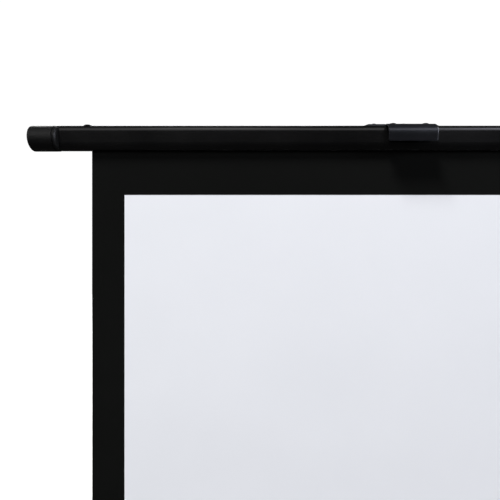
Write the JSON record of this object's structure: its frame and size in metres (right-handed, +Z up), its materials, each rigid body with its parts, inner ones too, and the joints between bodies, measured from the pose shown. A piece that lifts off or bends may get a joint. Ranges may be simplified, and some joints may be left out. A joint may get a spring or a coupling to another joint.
{
  "type": "portable floor projector screen",
  "caption": "Free-standing pull-up projection screen: fabric on a top bar, raised out of a floor case by a folding geared lift.",
  "frame": {"origin": "on the floor, below the middle of the fabric", "axes": "+Z up, +X to the right seen from the viewing side, -Y towards the viewers"},
  "size_m": [1.3572, 0.42, 1.243],
  "materials": {
    "black_paint": "satin black powder coat",
    "cap_plastic": "fine matte moulded black",
    "black_plastic": "moulded black, light texture",
    "bracket_steel": "semi-gloss black enamel",
    "arm_paint": "black anodised",
    "screw_steel": "black oxide",
    "screen_black": "matte black woven backing",
    "screen_white": "matte white projection surface",
    "pile": "dense dark pile",
    "bare_aluminium": "mill finish",
    "bare_steel": "zinc plated",
    "nylon": "natural nylon",
    "rubber": "matte black rubber"
  },
  "bodies": {
    "case": {"case_shell": "black_paint", "case_end_cap_left": "black_plastic", "case_end_cap_right": "black_plastic", "foot_mount_left": "black_plastic", "foot_mount_right": "black_plastic", "handle_ear_left": "black_plastic", "handle_ear_right": "black_plastic", "base_bracket": "bracket_steel", "bracket_screw_left": "screw_steel", "bracket_screw_right": "screw_steel", "case_screw_left_front": "screw_steel", "case_screw_left_rear": "screw_steel", "case_screw_right_front": "screw_steel", "case_screw_right_rear": "screw_steel", "screen_fabric": "screen_black", "screen_surface": "screen_white", "slot_seal_front": "pile", "slot_seal_rear": "pile", "roller_axle_left": "bare_steel", "roller_axle_right": "bare_steel", "roller_spring": "bare_steel", "base_pivot_pin_left": "bare_steel", "base_pivot_pin_right": "bare_steel", "foot_bolt_left": "bare_steel", "foot_bolt_right": "bare_steel", "base_washer_left": "nylon", "base_washer_right": "nylon"},
    "roller": {"roller_tube": "bare_aluminium", "roller_plug_left": "nylon", "roller_plug_right": "nylon", "wound_fabric": "screen_black"},
    "left_lower": {"lower_arm_left": "arm_paint", "elbow_pin_left": "bare_steel"},
    "left_upper": {"upper_arm_left": "arm_paint"},
    "right_lower": {"lower_arm_right": "arm_paint", "elbow_pin_right": "bare_steel"},
    "right_upper": {"upper_arm_right": "arm_paint"},
    "bar": {"top_bar": "black_paint", "hem_rod": "bare_aluminium", "bar_screw_left": "screw_steel", "bar_screw_right": "screw_steel", "bar_end_cap_left": "cap_plastic", "bar_end_cap_right": "cap_plastic", "hanger_bracket": "bracket_steel", "hanger_screw_left": "screw_steel", "hanger_screw_right": "screw_steel", "top_pivot_pin_left": "bare_steel", "top_pivot_pin_right": "bare_steel", "pull_handle": "bracket_steel", "handle_screw_left": "screw_steel", "handle_screw_right": "screw_steel"},
    "left_foot": {"foot_left": "black_paint", "foot_pad_left_front": "rubber", "foot_pad_left_rear": "rubber"},
    "right_foot": {"foot_right": "black_paint", "foot_pad_right_front": "rubber", "foot_pad_right_rear": "rubber"},
    "carry": {"carry_handle": "bracket_steel", "carry_grip": "rubber"}
  },
  "joints": [
    {"name": "lift", "type": "hinge", "parent": "case", "child": "left_lower", "pos_m": [-0.032, 0.0522, 0.046], "axis": [0, -1, 0], "range_deg": [0, 70], "deforming": ["screen_fabric", "screen_surface"]},
    {"name": "left_elbow", "type": "hinge", "parent": "left_lower", "child": "left_upper", "pos_m": [-0.19738, 0.061, 0.62276], "axis": [0, -1, 0], "range_deg": [-140, 0]},
    {"name": "bar_pivot", "type": "hinge", "parent": "left_upper", "child": "bar", "pos_m": [-0.032, 0.061, 1.19951], "axis": [0, -1, 0], "range_deg": [0, 70]},
    {"name": "right_base", "type": "hinge", "parent": "case", "child": "right_lower", "pos_m": [0.032, 0.0522, 0.046], "axis": [0, -1, 0], "range_deg": [-70, 0]},
    {"name": "right_elbow", "type": "hinge", "parent": "right_lower", "child": "right_upper", "pos_m": [0.19738, 0.061, 0.62276], "axis": [0, -1, 0], "range_deg": [0, 140]},
    {"name": "roller_spin", "type": "hinge", "parent": "case", "child": "roller", "pos_m": [0, 0.01705, 0.0743], "axis": [1, 0, 0], "range_deg": [0, 3220]},
    {"name": "left_foot_swivel", "type": "hinge", "parent": "case", "child": "left_foot", "pos_m": [-0.4504, 0, 0.013], "axis": [0, 0, 1], "range_deg": [0, 90]},
    {"name": "right_foot_swivel", "type": "hinge", "parent": "case", "child": "right_foot", "pos_m": [0.4504, 0, 0.013], "axis": [0, 0, -1], "range_deg": [0, 90]},
    {"name": "carry_swing", "type": "hinge", "parent": "case", "child": "carry", "pos_m": [0, -0.058, 0.0915], "axis": [-1, 0, 0], "range_deg": [0, 120]}
  ],
  "couplings": [
    {"joint": "left_elbow", "follows": "lift", "ratio": -2},
    {"joint": "bar_pivot", "follows": "lift", "ratio": 1},
    {"joint": "right_base", "follows": "lift", "ratio": -1},
    {"joint": "right_elbow", "follows": "lift", "ratio": 2},
    {"joint": "roller_spin", "follows": "lift", "ratio": 46}
  ]
}
